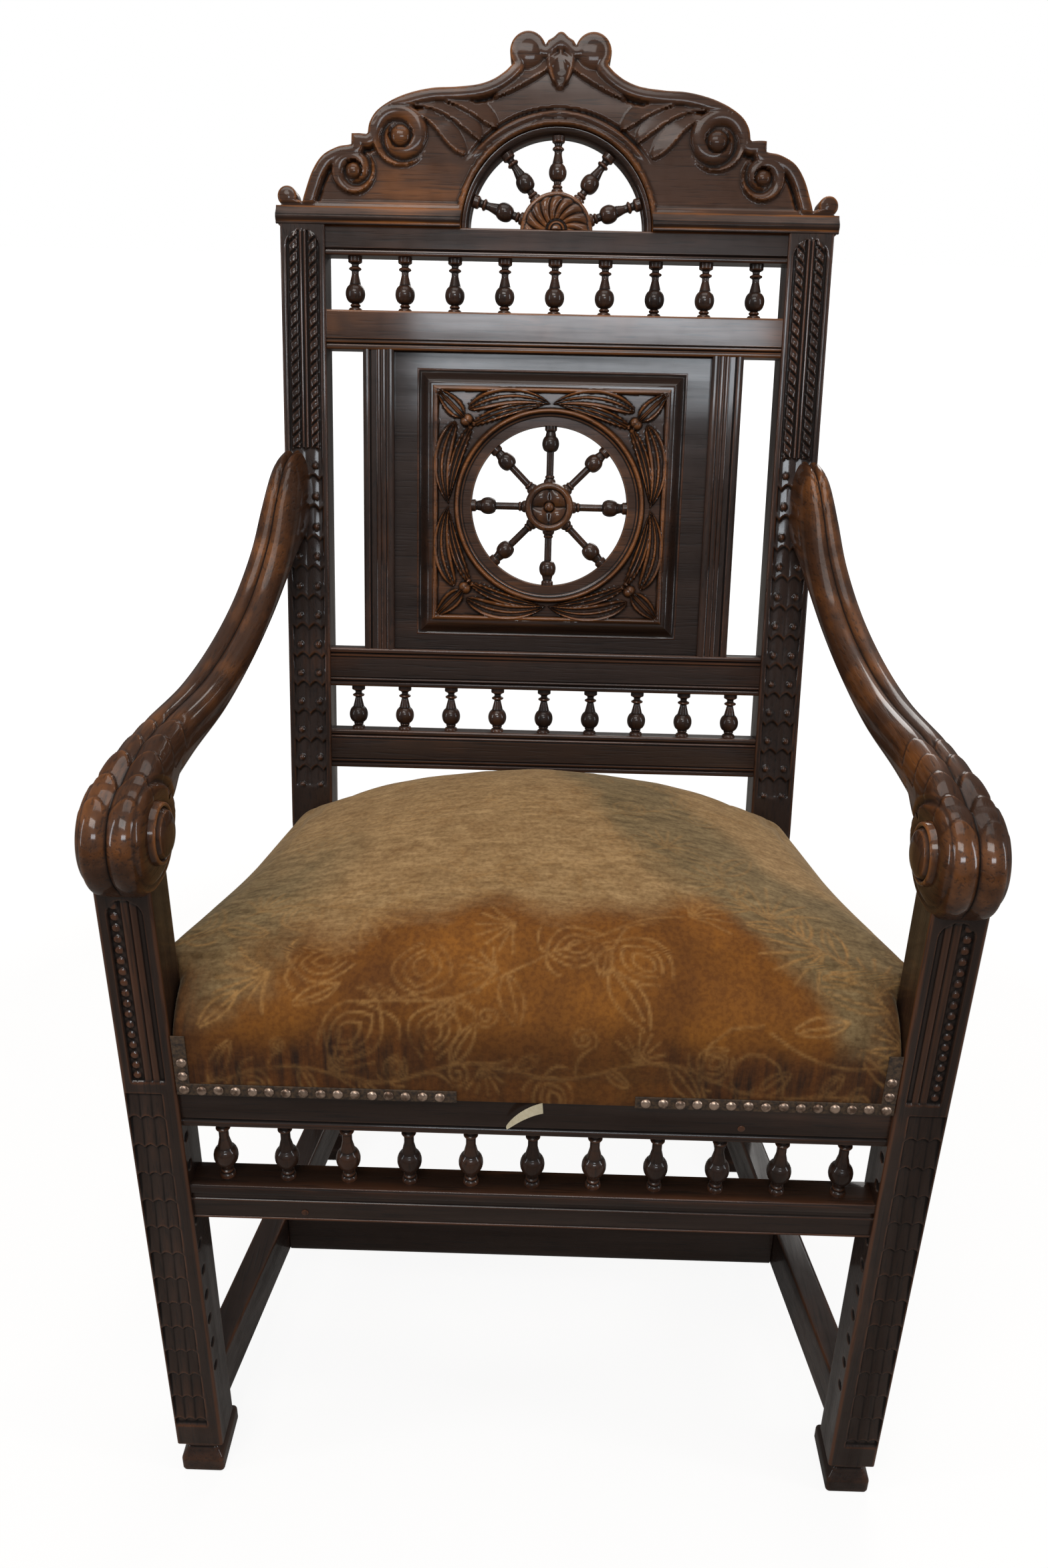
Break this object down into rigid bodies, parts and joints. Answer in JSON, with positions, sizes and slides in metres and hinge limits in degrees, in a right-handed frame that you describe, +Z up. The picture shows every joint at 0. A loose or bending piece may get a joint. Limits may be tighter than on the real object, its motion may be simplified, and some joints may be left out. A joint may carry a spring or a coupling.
{
  "type": "wainscot armchair",
  "caption": "Carved dark oak armchair with a raked open back, turned galleries and a spoked wheel, scrolled arms, a stuffed nailed seat and an H stretcher.",
  "frame": {"origin": "middle of the chair's bounding box, on the floor under the four shoes", "axes": "+Z up, the front of the chair looks along -Y, +X to the viewer's right in a front view"},
  "size_m": [0.644, 0.6491, 1.2246],
  "materials": {
    "dark_oak": "very dark brown oak under an old semi-gloss varnish",
    "carved_oak": "dark red-brown oak, worn warmer on the high edges of the carving and turning",
    "gold_velvet": "worn old-gold velvet with a pale pressed trailing pattern",
    "worn_braid": "thin faded braid",
    "jute_webbing": "plain jute webbing",
    "antique_brass": "dull antique brass nail heads"
  },
  "bodies": {
    "root": {"arm_boss_left": "carved_oak", "arm_boss_right": "carved_oak", "arm_left": "carved_oak", "arm_right": "carved_oak", "back_panel": "dark_oak", "back_post_left": "dark_oak", "back_post_right": "dark_oak", "bottom_back_rail": "dark_oak", "carved_square": "carved_oak", "crest_board": "carved_oak", "crest_hub": "carved_oak", "crest_moulding_left": "carved_oak", "crest_moulding_right": "carved_oak", "crest_rim": "carved_oak", "crest_spokes": "carved_oak", "cross_stretcher": "dark_oak", "front_gallery_spindles": "carved_oak", "front_leg_left": "dark_oak", "front_leg_right": "dark_oak", "front_seat_rail": "dark_oak", "front_shoe_left": "dark_oak", "front_shoe_right": "dark_oak", "gallery_rail": "dark_oak", "lower_gallery_spindles": "carved_oak", "panel_bevel": "dark_oak", "panel_stile_left": "dark_oak", "panel_stile_right": "dark_oak", "rail_pegs": "dark_oak", "rear_seat_rail": "dark_oak", "rear_shoe_left": "dark_oak", "rear_shoe_right": "dark_oak", "seat_braid": "worn_braid", "seat_cushion": "gold_velvet", "seat_nails": "antique_brass", "seat_webbing": "jute_webbing", "second_back_rail": "dark_oak", "side_seat_rail_left": "dark_oak", "side_seat_rail_right": "dark_oak", "side_stretcher_left": "dark_oak", "side_stretcher_right": "dark_oak", "third_back_rail": "dark_oak", "top_back_rail": "dark_oak", "upper_gallery_spindles": "carved_oak", "wheel_hub": "carved_oak", "wheel_ring": "carved_oak", "wheel_spokes": "carved_oak"}
  },
  "joints": []
}
